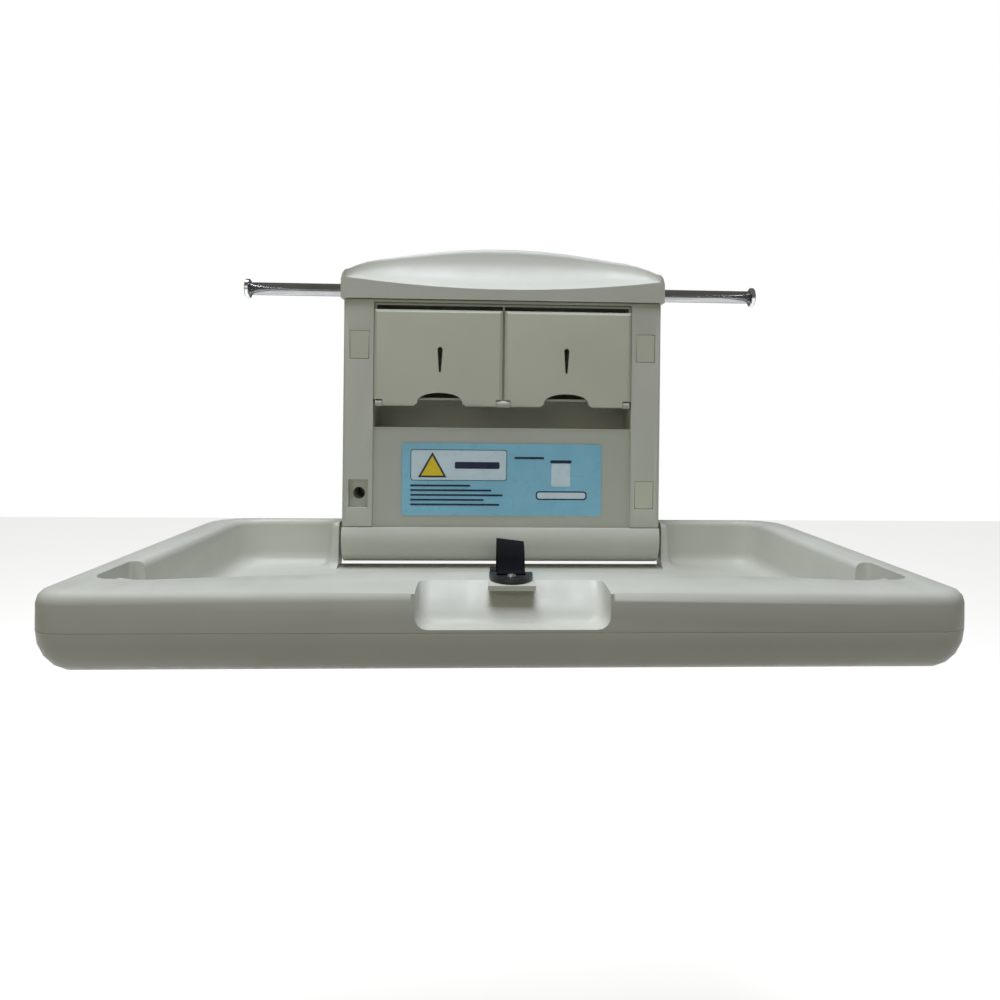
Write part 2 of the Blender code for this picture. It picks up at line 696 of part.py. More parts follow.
def hood(mat, parent):
    """The hood: an arched block, scooped out in front, hollow towards the wall."""
    back = AXIS_OUT - 0.003 - GAP
    depth = back - HOOD_FRONT
    place = Matrix.Translation((0, (back + HOOD_FRONT) / 2, 0)) @ ALONG_Y
    body = flat_outline("hood", hood_outline(0.0, HOOD_BOTTOM), depth, place)
    scoop = loft("cut_scoop", [scoop_section(x, 0.0) for x in scoop_stations(0.2330)])
    inner = Matrix.Translation((0, WALL + 0.010, 0)) @ place
    hollow = flat_outline("cut_hood_hollow", hood_outline(WALL, HOOD_BOTTOM + WALL), depth + 0.020, inner)
    shelf = loft("cut_hood_shelf", [scoop_section(x, WALL) for x in scoop_stations(0.2360)])
    cut(hollow, shelf)
    cut(body, scoop, hollow)
    for side in (-1, 1):
        tag = "left" if side < 0 else "right"
        middle = (side * HOOD_HALF, ROD_Y, ROD_Z)
        cut(body, cylinder(f"cut_rod_{tag}", middle, (1, 0, 0), 0.0118, 0.030, 24))
    return finish(body, "hood", mat, parent)


def hinge_barrel(mat, parent):
    """Round cover over the hinge shaft, open towards the wall."""
    back = AXIS_OUT - 0.003 - GAP
    top = COLUMN_FOOT - GAP
    start = math.asin(top / BARREL_R)
    outline = []
    for k in range(21):
        a = math.pi - start + (math.pi / 2 + start) * k / 20
        outline.append((BARREL_R * math.cos(a), BARREL_R * math.sin(a)))
    outline += [(back, -BARREL_R + 0.004), (back, top)]
    body = flat_outline("hinge_barrel", outline, 2 * UNIT_HALF, ALONG_X)
    inner = BARREL_R - WALL
    hollow = []
    begin = math.asin((top - WALL) / inner)
    for k in range(17):
        a = math.pi - begin + (math.pi / 2 + begin) * k / 16
        hollow.append((inner * math.cos(a), inner * math.sin(a)))
    hollow += [(back + 0.01, -inner + 0.004), (back + 0.01, top - WALL)]
    cut(body, flat_outline("cut_barrel_hollow", hollow, 2 * (UNIT_HALF - WALL), ALONG_X))
    cut(body, cylinder("cut_barrel_shaft", (0, 0, 0), (1, 0, 0), SHAFT_R + 0.0004, 0.6, 24))
    return finish(body, "hinge_barrel", mat, parent)


def hinge_works(mat, steel, parent):
    """Bearing blocks for the shaft and the spring that eases the tray down."""
    back = AXIS_OUT - 0.003 - 2 * GAP
    for side, word in ((-1, "left"), (1, "right")):
        edges = sorted((side * 0.205, side * 0.225))
        block = box(f"{word}_hinge_bearing", (edges[0], -0.013, -0.013), (edges[1], back, 0.0135), 0.001, 1)
        middle = (side * 0.215, 0, 0)
        cut(block, cylinder(f"cut_bearing_{word}", middle, (1, 0, 0), SHAFT_R + 0.0003, 0.05, 24))
        finish(block, f"{word}_hinge_bearing", mat, parent)
    turns, per_turn = 8, 12
    radius, wire, pitch = 0.0125, 0.0013, 0.0042
    curve = bpy.data.curves.new("damper_spring", "CURVE")
    curve.dimensions = "3D"
    curve.bevel_depth = wire
    curve.bevel_resolution = 1
    curve.use_fill_caps = True
    spline = curve.splines.new("POLY")
    total = turns * per_turn
    spline.points.add(total)
    for k, point in enumerate(spline.points):
        a = 2 * math.pi * k / per_turn
        x = 0.160 + pitch * k / per_turn
        point.co = (x, radius * math.cos(a), radius * math.sin(a), 1.0)
    coil = bpy.data.objects.new("damper_spring", curve)
    PARTS.objects.link(coil)
    curve.materials.append(steel)
    coil.parent = parent


def label_plate(mat, parent):
    """Thin printed plate on the lower panel."""
    front = PANEL_FRONT - GAP - 0.0010
    bm_low, bm_high = (-0.1478, front, 0.0342), (0.1478, PANEL_FRONT - GAP, 0.1408)
    plate = box("label_plate", bm_low, bm_high)
    return finish(plate, "label_plate", mat, parent, smooth=False)


def screw_covers(mat, parent):
    """Snap-in covers over three of the four wall screws; the lower left one is missing."""
    half_x, half_z = POCKET_HALF
    play = 0.0004
    for name, x, z in pockets():
        if name == "bottom_left":
            continue
        low = (x - half_x + play, COLUMN_FRONT - 0.0002, z - half_z + play)
        high = (x + half_x - play, COLUMN_FRONT + 0.0026, z + half_z - play)
        cover = box(f"cover_{name}", low, high, 0.0006, 1)
        for k, dx in enumerate((-0.0115, 0.0115)):
            leg_low = (x + dx - 0.0009, COLUMN_FRONT + 0.0020, z - 0.008)
            leg_high = (x + dx + 0.0009, COLUMN_FRONT + 0.0100, z + 0.008)
            join(cover, box(f"add_leg_{name}_{k}", leg_low, leg_high))
        finish(cover, f"cover_{name}", mat, parent)


def wall_screws(steel, parent):
    """Washer-head screws through the plate, cut off at the wall."""
    seat = 0.0380
    for name, x, z in pockets():
        profile = [(0.0, AXIS_OUT - 0.0002), (0.0030, AXIS_OUT - 0.0002), (0.0030, seat - 0.0006),
                   (0.0080, seat - 0.0006), (0.0080, seat - 0.0020), (0.0062, seat - 0.0024),
                   (0.0054, seat - 0.0056), (0.0, seat - 0.0064)]
        screw = turned(f"wall_screw_{name}", [(r, -y) for r, y in profile], 20)
        screw.rotation_euler = (math.radians(90), 0, 0)
        screw.location = (x, 0, z)
        cut(screw, box(f"cut_drive_{name}", (x - 0.0028, 0.0, z - 0.0007), (x + 0.0028, seat - 0.0042, z + 0.0007)))
        finish(screw, f"wall_screw_{name}", steel, parent)


# ---- the liner dispenser ------------------------------------------------------------------------------
BIN_FRONT = -0.0225
DOOR_BEVEL = 0.0042
BIN_FOOT = 0.2045
LUG_Z = (0.1945, 0.2042)
LUG_NOSE = 0.0045         # round nose of each lug, so that the swinging door clears it
LUGS = ((-0.1868, -0.1768), (-0.0100, 0.0100), (0.1768, 0.1868))


def liner_bin(mat, parent):
    """Open-fronted box for two stacks of liners, with the lugs that hold the doors."""
    low = (-PANEL_HALF + 0.0006, BIN_FRONT, BIN_FOOT)
    high = (PANEL_HALF - 0.0006, TUB_BACK - 0.0006, OPENING_TOP - 0.0009)
    body = box("liner_bin", low, high)
    for k, (x0, x1) in enumerate(((low[0] + WALL, -0.0015), (0.0015, high[0] - WALL))):
        inner_low = (x0, BIN_FRONT - 0.02, BIN_FOOT + 0.0030)
        cut(body, box(f"cut_bin_{k}", inner_low, (x1, high[1] - WALL, high[2] - WALL)))
    axis_y, axis_z = DOOR_AXIS
    for k, (x0, x1) in enumerate(LUGS):
        join(body, box(f"add_lug_{k}", (x0, axis_y, LUG_Z[0]), (x1, BIN_FRONT + 0.006, LUG_Z[1])))
        nose = cylinder(f"add_nose_{k}", ((x0 + x1) / 2, axis_y, axis_z), (1, 0, 0), LUG_NOSE, x1 - x0 - 0.0002, 20)
        join(body, nose)
        join(body, box(f"add_root_{k}", (x0, BIN_FRONT + 0.0002, LUG_Z[0] + 0.001), (x1, BIN_FRONT + 0.0055, BIN_FOOT + 0.0015)))
    cut(body, cylinder("cut_lug_holes", (0, axis_y, axis_z), (1, 0, 0), 0.0018, 0.50, 16))
    return finish(body, "liner_bin", mat, parent)


def teardrop(x, z, height, top_r, foot_r):
    """Outline of a level slot: round head, narrow foot."""
    points = []
    for k in range(9):
        a = math.pi * k / 8
        points.append((x + top_r * math.cos(a), z + height / 2 - top_r + top_r * math.sin(a)))
    for k in range(5):
        a = math.pi + math.pi * k / 4
        points.append((x + foot_r * math.cos(a), z - height / 2 + foot_r + foot_r * math.sin(a)))
    return points


def hand_arch(x, foot, half, rise):
    """Outline of a hand arch: flared foot, flat curved head."""
    points = [(x + half + 0.004, foot - 0.02), (x + half + 0.004, foot)]
    for k in range(11):
        a = math.pi * k / 10
        points.append((x + half * math.cos(a), foot + 0.002 + (rise - 0.002) * math.sin(a) ** 0.8))
    points += [(x - half - 0.004, foot), (x - half - 0.004, foot - 0.02)]
    return points


def door_rings(edges, foot):
    """A door's body from back to front: straight sides, then a bevelled front edge."""
    rings = []
    for y, inset in ((BIN_FRONT - GAP, 0.0), (DOOR_FRONT + DOOR_BEVEL, 0.0), (DOOR_FRONT, DOOR_BEVEL)):
        x0, x1 = edges[0] + inset, edges[1] - inset
        z0, z1 = foot, DOOR_TOP - inset
        rings.append([(x0, y, z0), (x1, y, z0), (x1, y, z1), (x0, y, z1)])
    return rings


def liner_door(side, mat, parent):
    """One dispenser door: flat front with bevelled edges, slot, hand arch and hinge sleeve."""
    word = "left" if side < 0 else "right"
    name = f"{word}_liner_door"
    inner, outer = 0.0016, PANEL_HALF - 0.0008
    edges = sorted((side * inner, side * outer))
    axis_y, axis_z = DOOR_AXIS
    foot = BIN_FOOT + 0.0004
    door = loft(name, door_rings(edges, foot))
    hollow = (edges[0] + WALL, DOOR_FRONT + WALL, foot - 0.01)
    cut(door, box(f"cut_{word}_door", hollow, (edges[1] - WALL, BIN_FRONT + 0.01, DOOR_TOP - WALL)))
    hem = sorted((side * (LUGS[1][1] + 0.0006), side * (LUGS[2][0] - 0.0006)))
    skirt = box(f"add_{word}_hem", (hem[0], DOOR_FRONT, axis_z - 0.0030), (hem[1], DOOR_FRONT + WALL + 0.0002, foot + 0.008))
    join(door, skirt)
    middle = ((hem[0] + hem[1]) / 2, axis_y, axis_z)
    join(door, cylinder(f"add_{word}_sleeve", middle, (1, 0, 0), 0.0042, hem[1] - hem[0] - 0.0002, 20))
    place = Matrix.Translation((0, DOOR_FRONT, 0)) @ ALONG_Y
    x = side * 0.0930
    cut(door, flat_outline(f"cut_{word}_slot", teardrop(x, 0.2635, 0.037, 0.0038, 0.0016), 0.03, place))
    arch = hand_arch(x, axis_z - 0.0030, 0.0335, 0.0185)
    cut(door, flat_outline(f"cut_{word}_arch", arch, 0.03, place))
    cut(door, cylinder(f"cut_{word}_pin", middle, (1, 0, 0), 0.0020, 0.40, 16))
    return place_on_pivot(door, name, mat, parent, (0, axis_y, axis_z))


def place_on_pivot(obj, name, mat, parent, offset):
    """Shift a mesh drawn in the hinge frame so that it hangs from a pivot at offset."""
    finish(obj, name, mat, parent)
    obj.data.transform(Matrix.Translation(-Vector(offset)))
    return obj


def door_pins(steel, parent):
    """Short steel pins at both ends of each door's sleeve, clear of the hand arches."""
    axis_y, axis_z = DOOR_AXIS
    for side, word in ((-1, "left"), (1, "right")):
        for place, span in (("inner", (0.0008, 0.0220)), ("outer", (0.1650, 0.1862))):
            edges = sorted(side * x for x in span)
            middle = ((edges[0] + edges[1]) / 2, axis_y, axis_z)
            name = f"{word}_door_pin_{place}"
            pin = cylinder(name, middle, (1, 0, 0), 0.0015, edges[1] - edges[0], 12)
            finish(pin, name, steel, parent)


# ---- the bag rods ---------------------------------------------------------------------------------------
def rod_supports(mat, parent):
    """Bushes in the hood's sides and bearing blocks inside the hood."""
    back = AXIS_OUT - 0.003 - 2 * GAP
    for side, word in ((-1, "left"), (1, "right")):
        profile = [(0.0099, 0.220), (0.0115, 0.220), (0.0115, 0.2383), (0.0132, 0.2383), (0.0132, 0.2402), (0.0099, 0.2402)]
        bush = turned(f"{word}_rod_bush", profile + profile[:1], 24)
        bush.rotation_euler = (0, math.radians(90 * side), 0)
        bush.location = (0, ROD_Y, ROD_Z)
        finish(bush, f"{word}_rod_bush", mat, parent)
        edges = sorted((side * 0.1745, side * 0.1885))
        low = (edges[0], ROD_Y - 0.0120, HOOD_BOTTOM + WALL + GAP)
        block = box(f"{word}_rod_block", low, (edges[1], back, ROD_Z + 0.0115))
        cut(block, cylinder(f"cut_block_{word}", (side * 0.18, ROD_Y, ROD_Z), (1, 0, 0), 0.0099, 0.06, 24))
        finish(block, f"{word}_rod_block", mat, parent)


def bag_rod(side, chrome, parent):
    """One sliding rod with a stop collar inside and a flat knob outside."""
    word = "left" if side < 0 else "right"
    profile = [
        (0.0, ROD_IN), (COLLAR_R - 0.0004, ROD_IN), (COLLAR_R, ROD_IN + 0.0005), (COLLAR_R, ROD_IN + 0.0070),
        (ROD_R, ROD_IN + 0.0070), (ROD_R, ROD_OUT), (0.0050, ROD_OUT), (0.0050, ROD_OUT + 0.0040), (0.0, ROD_OUT + 0.0040),
    ]
    rod = turned(f"{word}_rod", profile, 32)
    rod.rotation_euler = (0, math.radians(90 * side), 0)
    finish(rod, f"{word}_rod", chrome, parent)
    near, far = ROD_OUT + GAP, ROD_OUT + KNOB_T
    profile = [
        (0.0, ROD_OUT + 0.0043), (0.0053, ROD_OUT + 0.0043), (0.0053, near), (KNOB_R - 0.0008, near),
        (KNOB_R, near + 0.0008), (KNOB_R, far - 0.0012), (KNOB_R - 0.0014, far), (0.0, far),
    ]
    knob = turned(f"{word}_rod_knob", profile, 32)
    knob.rotation_euler = (0, math.radians(90 * side), 0)
    finish(knob, f"{word}_rod_knob", chrome, parent)


# ---- the whole ---------------------------------------------------------------------------------------------
def build():
    """Model every piece."""
    shell = material("warm_grey_plastic", (0.610, 0.615, 0.550), 0.42)
    shell_2 = material("warm_grey_plastic_covers", (0.600, 0.610, 0.520), 0.40)
    black = material("black_plastic", (0.012, 0.012, 0.014), 0.40)
    web = material("black_webbing", (0.010, 0.011, 0.016), 0.85)
    chrome = material("polished_chrome", (0.75, 0.76, 0.78), 0.10, 1.0)
    steel = material("zinc_plated_steel", (0.55, 0.56, 0.57), 0.35, 1.0)
    nylon = material("white_nylon", (0.70, 0.70, 0.66), 0.45)
    label = material("label_blue", (0.330, 0.560, 0.730), 0.30)

    unit = pivot("wall_unit", (0, -AXIS_OUT, 0))
    tray = pivot("tray_pivot", (0, -AXIS_OUT, 0))
    back_plate(steel, unit)
    housing(shell, unit)
    hood(shell, unit)
    hinge_barrel(shell, unit)
    hinge_works(nylon, steel, unit)
    label_plate(label, unit)
    screw_covers(shell_2, unit)
    wall_screws(steel, unit)
    liner_bin(shell, unit)
    door_pins(steel, unit)
    rod_supports(nylon, unit)

    for side, word in ((-1, "left"), (1, "right")):
        hinge = pivot(f"{word}_door_pivot", (0, -AXIS_OUT + DOOR_AXIS[0], DOOR_AXIS[1]))
        liner_door(side, shell_2, hinge)
        slide = pivot(f"{word}_rod_slide", (0, -AXIS_OUT + ROD_Y, ROD_Z))
        bag_rod(side, chrome, slide)

    tray_upper(shell, tray)
    tray_lower(shell, tray)
    tray_screws(steel, tray)
    tray_steel(steel, tray)
    strap_parts(web, black, steel, tray)


build()
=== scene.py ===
import json
import math

import bmesh
import bpy
import numpy as np
from bpy.props import FloatProperty, FloatVectorProperty, PointerProperty
from mathutils import Matrix, Vector


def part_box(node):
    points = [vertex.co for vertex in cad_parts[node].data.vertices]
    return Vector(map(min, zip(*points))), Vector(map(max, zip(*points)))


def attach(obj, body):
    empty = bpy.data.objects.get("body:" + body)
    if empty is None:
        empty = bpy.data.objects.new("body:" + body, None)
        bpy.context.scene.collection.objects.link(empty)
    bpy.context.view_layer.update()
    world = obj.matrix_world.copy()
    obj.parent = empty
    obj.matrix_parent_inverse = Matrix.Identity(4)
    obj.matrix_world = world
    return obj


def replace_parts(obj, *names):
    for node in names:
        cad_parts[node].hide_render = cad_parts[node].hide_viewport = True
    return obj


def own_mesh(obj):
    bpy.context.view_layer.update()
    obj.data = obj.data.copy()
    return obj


bl_info = {
    "name": "Fold-down changing table",
    "version": (1, 0, 0),
    "blender": (4, 5, 0),
    "location": "3D View > Sidebar > Changing table",
    "description": "Finishes, belt, printed plate and stage of a wall-mounted changing table",
    "category": "Object",
}

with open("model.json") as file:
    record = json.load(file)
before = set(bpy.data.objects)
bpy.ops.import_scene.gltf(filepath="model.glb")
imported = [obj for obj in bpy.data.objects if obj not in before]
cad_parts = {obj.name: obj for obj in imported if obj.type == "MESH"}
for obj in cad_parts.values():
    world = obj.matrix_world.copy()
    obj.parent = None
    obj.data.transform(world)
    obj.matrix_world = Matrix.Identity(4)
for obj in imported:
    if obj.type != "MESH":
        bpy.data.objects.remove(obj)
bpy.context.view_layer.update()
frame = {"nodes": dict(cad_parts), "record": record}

AXIS_Y = -0.052           # the tray's hinge axis, in front of the wall
MERGE = 1e-6              # points closer than this are one point
FLAT_ANGLE = math.radians(1.0)
QUAD_SHAPE = math.radians(120)
SPARE_AREA = 1.002        # a copy may show this share of its node's area at most
CREASE_ANGLE = math.radians(38)


# ---- sizes and colours a user may change ------------------------------------------------------------
def colour(name, description, default):
    """One colour property."""
    return FloatVectorProperty(
        name=name, description=description, subtype="COLOR", size=3, min=0.0, max=1.0, default=default)


def length(name, description, default):
    """One length property, in metres."""
    return FloatProperty(
        name=name, description=description, default=default, min=0.0, unit="LENGTH", precision=5)


class TableFinish(bpy.types.PropertyGroup):
    """Colours of the finishes."""
    shell: colour("Shell", "Warm grey of the moulded shells", (0.600, 0.607, 0.545))
    cover: colour("Covers", "Slightly greener grey of doors and screw covers", (0.595, 0.610, 0.505))
    black: colour("Black plastic", "Bracket, buckle and anchor", (0.010, 0.010, 0.012))
    webbing: colour("Webbing", "Woven belt", (0.007, 0.008, 0.014))
    nylon: colour("Nylon", "Bushes and bearing blocks", (0.70, 0.70, 0.66))
    zinc: colour("Zinc", "Zinc-plated steel", (0.55, 0.56, 0.57))
    chrome: colour("Chrome", "Bag rods", (0.76, 0.77, 0.79))
    print_blue: colour("Plate blue", "Ground of the printed plate", (0.270, 0.600, 0.800))
    print_pale: colour("Plate pale", "Pale print", (0.680, 0.830, 0.920))
    print_dark: colour("Plate dark", "Dark print", (0.012, 0.022, 0.070))
    print_yellow: colour("Plate yellow", "Filling of the triangle", (0.850, 0.640, 0.030))
    floor: colour("Floor", "Stage floor", (0.86, 0.86, 0.85))


class TableSizes(bpy.types.PropertyGroup):
    """Small sizes of the finish."""
    edge: length("Edge round", "Rounding of moulded edges", 0.0010)
    small_edge: length("Small edge round", "Rounding of small pieces", 0.0004)
    strap_half: length("Strap half width", "Half the belt's width", 0.0140)
    strap_thick: length("Strap thickness", "Thickness of the webbing", 0.0016)
    strap_lean: length("Strap lean", "How much lower the arch's right edge is", 0.0035)
    print_thick: length("Print thickness", "Thickness of each printed layer", 0.00012)


def finish_colours():
    """The colours in use."""
    return bpy.context.scene.changing_table_finish


def sizes():
    """The sizes in use."""
    return bpy.context.scene.changing_table_sizes


# ---- materials ----------------------------------------------------------------------------------------
class Tree:
    """A short way to write one material's nodes."""

    def __init__(self, name, base, roughness, metallic=0.0):
        self.mat = bpy.data.materials.new(name)
        self.mat.use_nodes = True
        self.tree = self.mat.node_tree
        self.shader = self.tree.nodes["Principled BSDF"]
        self.shader.inputs["Base Color"].default_value = (*base, 1.0)
        self.shader.inputs["Roughness"].default_value = roughness
        self.shader.inputs["Metallic"].default_value = metallic
        self.base = base
        self.coords = self.tree.nodes.new("ShaderNodeTexCoord")

    def node(self, kind, **inputs):
        """A node of a kind, with some of its inputs set or linked."""
        made = self.tree.nodes.new(kind)
        for key, value in inputs.items():
            socket = made.inputs[key.replace("_", " ")]
            if isinstance(value, bpy.types.NodeSocket):
                self.tree.links.new(value, socket)
            else:
                socket.default_value = value
        return made

    def link(self, output, socket):
        """Feed one of the shader's sockets."""
        self.tree.links.new(output, self.shader.inputs[socket])

    def place(self, scale=(1.0, 1.0, 1.0), source="Object"):
        """The piece's own coordinates, scaled."""
        return self.node("ShaderNodeMapping", Vector=self.coords.outputs[source], Scale=scale).outputs[0]

    def noise(self, scale, detail=3.0, stretch=(1.0, 1.0, 1.0), source="Object"):
        """Fractal noise from 0 to 1."""
        place = self.place(stretch, source)
        return self.node("ShaderNodeTexNoise", Vector=place, Scale=scale, Detail=detail).outputs["Fac"]

    def spread(self, value, low, high, start=0.3, stop=0.7):
        """A value stretched from start..stop to low..high."""
        made = self.node("ShaderNodeMapRange", Value=value)
        for key, number in (("From Min", start), ("From Max", stop), ("To Min", low), ("To Max", high)):
            made.inputs[key].default_value = number
        return made.outputs["Result"]

    def tint(self, value, low, high, start=0.3, stop=0.7):
        """The base colour made darker and lighter by a value."""
        ramp = self.node("ShaderNodeValToRGB", Fac=value)
        ramp.color_ramp.elements[0].position = start
        ramp.color_ramp.elements[1].position = stop
        for element, factor in zip(ramp.color_ramp.elements, (low, high)):
            element.color = (*[min(c * factor, 1.0) for c in self.base], 1.0)
        return ramp.outputs["Color"]

    def bump(self, height, distance, strength=1.0, under=None):
        """A bump, on top of another one if given."""
        made = self.node("ShaderNodeBump", Height=height, Distance=distance, Strength=strength)
        if under is not None:
            self.tree.links.new(under, made.inputs["Normal"])
        return made.outputs["Normal"]


def moulded_plastic(name, base, grain=1.0):
    """Moulded plastic: cloudy tone, spark-eroded grain, faint scuffs and uneven gloss."""
    t = Tree(name, base, 0.45)
    cloud = t.noise(7.0, 4.0)
    t.link(t.tint(cloud, 0.955, 1.03), "Base Color")
    scuff = t.noise(60.0, 5.0, (1.0, 0.25, 1.0))
    t.link(t.spread(scuff, 0.36, 0.52), "Roughness")
    flow = t.bump(t.noise(38.0, 2.0), 0.00010 * grain, 0.5)
    t.link(t.bump(t.noise(1500.0, 2.0), 0.00005 * grain, 0.6, flow), "Normal")
    t.shader.inputs["Specular IOR Level"].default_value = 0.45
    return t.mat


def black_plastic(name, base):
    """Black moulded plastic with a fine grain and dust in its tone."""
    t = Tree(name, base, 0.38)
    t.link(t.tint(t.noise(90.0, 4.0), 0.8, 1.9), "Base Color")
    t.link(t.spread(t.noise(140.0, 3.0), 0.28, 0.48), "Roughness")
    t.link(t.bump(t.noise(1800.0, 2.0), 0.00004, 0.6), "Normal")
    return t.mat


def plated(name, base, low, high, stretch, scale):
    """Plated steel: drawing lines along one axis in gloss and height."""
    t = Tree(name, base, low, 1.0)
    lines = t.noise(scale, 4.0, stretch)
    t.link(t.spread(lines, low, high), "Roughness")
    t.link(t.tint(t.noise(25.0, 3.0), 0.90, 1.04), "Base Color")
    t.link(t.bump(lines, 0.000015, 0.35), "Normal")
    return t.mat


def woven(name, base):
    """Webbing: V is metres along and U metres across; ribs and picks."""
    t = Tree(name, base, 0.80)
    ribs = t.node("ShaderNodeTexWave", Vector=t.place((1.0, 0.0, 1.0), "UV"), Scale=190.0).outputs["Fac"]
    picks = t.node("ShaderNodeTexWave", Vector=t.place((0.5, 1.0, 1.0), "UV"), Scale=240.0).outputs["Fac"]
    weave = t.node("ShaderNodeMath")
    weave.operation = "MULTIPLY"
    t.tree.links.new(ribs, weave.inputs[0])
    t.tree.links.new(picks, weave.inputs[1])
    fuzz = t.noise(2600.0, 2.0)
    t.link(t.tint(weave.outputs[0], 0.3, 0.9, 0.0, 1.0), "Base Color")
    t.link(t.spread(fuzz, 0.68, 0.90), "Roughness")
    t.link(t.bump(fuzz, 0.00008, 0.4, t.bump(weave.outputs[0], 0.00030, 0.8)), "Normal")
    t.shader.inputs["Sheen Weight"].default_value = 0.04
    t.shader.inputs["Specular IOR Level"].default_value = 0.1
    return t.mat


def printed(name, base):
    """Ink under a thin clear film: slight mottle and fine ripples in the film."""
    t = Tree(name, base, 0.30)
    t.link(t.tint(t.noise(30.0, 3.0), 0.95, 1.04), "Base Color")
    t.link(t.spread(t.noise(70.0, 3.0), 0.24, 0.38), "Roughness")
    t.link(t.bump(t.noise(220.0, 2.0), 0.00003, 0.4), "Normal")
    t.shader.inputs["Coat Weight"].default_value = 0.25
    return t.mat


MATERIALS = {}


def make_materials():
    """Every finish, by name."""
    c = finish_colours()
    MATERIALS.update(
        shell=moulded_plastic("warm_grey_shell", tuple(c.shell)),
        cover=moulded_plastic("warm_grey_cover", tuple(c.cover), 0.8),
        nylon=moulded_plastic("natural_nylon", tuple(c.nylon), 0.5),
        black=black_plastic("black_moulding", tuple(c.black)),
        zinc=plated("zinc_plate", tuple(c.zinc), 0.28, 0.46, (1.0, 1.0, 0.1), 160.0),
        chrome=plated("bright_chrome", tuple(c.chrome), 0.06, 0.17, (0.03, 1.0, 1.0), 420.0),
        webbing=woven("black_belt", tuple(c.webbing)),
        blue=printed("plate_blue", tuple(c.print_blue)),
        pale=printed("plate_pale", tuple(c.print_pale)),
        dark=printed("plate_dark", tuple(c.print_dark)),
        yellow=printed("plate_yellow", tuple(c.print_yellow)),
    )


def dress(obj, finish):
    """Give an object one finish all over."""
    obj.data.materials.clear()
    obj.data.materials.append(MATERIALS[finish])


# ---- meshes -------------------------------------------------------------------------------------------
def add_piece(name, mesh, finish, body):
    """Put a mesh in the scene as a piece that rides on a body."""
    obj = bpy.data.objects.new(name, mesh)
    bpy.context.scene.collection.objects.link(obj)
    dress(obj, finish)
    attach(obj, body)
    return obj


def round_edges(obj, width, segments=3):
    """Round the creases of a piece."""
    mod = obj.modifiers.new("edge_round", "BEVEL")
    mod.width = width
    mod.segments = segments
    mod.limit_method = "ANGLE"
    mod.angle_limit = CREASE_ANGLE
    mod.harden_normals = True
    mod.use_clamp_overlap = True
    return mod


def shown_area(obj):
    """The area of an object's triangles, modifiers included: half of each cross product's length."""
    graph = bpy.context.evaluated_depsgraph_get()
    graph.update()
    shown = obj.evaluated_get(graph)
    mesh = shown.to_mesh()
    mesh.calc_loop_triangles()
    corners = np.empty(len(mesh.loop_triangles) * 3, np.int32)
    mesh.loop_triangles.foreach_get("vertices", corners)
    points = np.empty(len(mesh.vertices) * 3)
    mesh.vertices.foreach_get("co", points)
    t = points.reshape(-1, 3)[corners.reshape(-1, 3)]
    area = np.linalg.norm(np.cross(t[:, 1] - t[:, 0], t[:, 2] - t[:, 0]), axis=1).sum() / 2
    shown.to_mesh_clear()
    return area


def moulding(node, finish, body, width):
    """A CAD node's own shape, merged and smooth, with rounded creases; it stands for that node.

    Rounding only takes area away, so more area than the node has means a stray face."""
    bm = bmesh.new()
    bm.from_mesh(frame["nodes"][node].data)
    bmesh.ops.remove_doubles(bm, verts=bm.verts, dist=MERGE)
    bmesh.ops.join_triangles(
        bm, faces=bm.faces, angle_face_threshold=FLAT_ANGLE, angle_shape_threshold=QUAD_SHAPE)
    mesh = bpy.data.meshes.new(node + "_moulding")
    bm.to_mesh(mesh)
    bm.free()
    mesh.polygons.foreach_set("use_smooth", np.ones(len(mesh.polygons), bool))
    mesh.set_sharp_from_angle(angle=CREASE_ANGLE)
    obj = add_piece(node + "_moulding", mesh, finish, body)
    if width > 0.0:
        round_edges(obj, width)
    if shown_area(obj) > SPARE_AREA * shown_area(frame["nodes"][node]):
        raise RuntimeError(f"{node}: its copy shows stray faces")
    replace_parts(obj, node)
    return obj


def grid_mesh(name, points, uv=None):
    """A quad mesh over a grid of points of shape (rows, columns, 3)."""
    rows, columns = points.shape[:2]
    index = np.arange(rows * columns).reshape(rows, columns)
    quads = np.stack([index[:-1, :-1], index[:-1, 1:], index[1:, 1:], index[1:, :-1]], -1).reshape(-1, 4)
    mesh = bpy.data.meshes.new(name)
    mesh.from_pydata(points.reshape(-1, 3).tolist(), [], quads.tolist())
    if uv is not None:
        layer = mesh.uv_layers.new(name="along")
        corner = np.empty(len(mesh.loops), np.int32)
        mesh.loops.foreach_get("vertex_index", corner)
        layer.data.foreach_set("uv", uv.reshape(-1, 2)[corner].ravel())
    mesh.polygons.foreach_set("use_smooth", np.ones(len(mesh.polygons), bool))
    mesh.update()
    return mesh


def smooth_path(points, samples):
    """A path through points: the uniform Catmull-Rom spline, a cubic between each pair."""
    p = np.asarray(points, float)
    p = np.vstack([2 * p[0] - p[1], p, 2 * p[-1] - p[-2]])
    t = np.linspace(0, len(p) - 3 - 1e-9, samples)
    k = t.astype(int)
    s = (t - k)[:, None]
    a, b, c, d = p[k], p[k + 1], p[k + 2], p[k + 3]
    return 0.5 * (2 * b + (c - a) * s + (2 * a - 5 * b + 4 * c - d) * s ** 2 + (3 * b - a - 3 * c + d) * s ** 3)


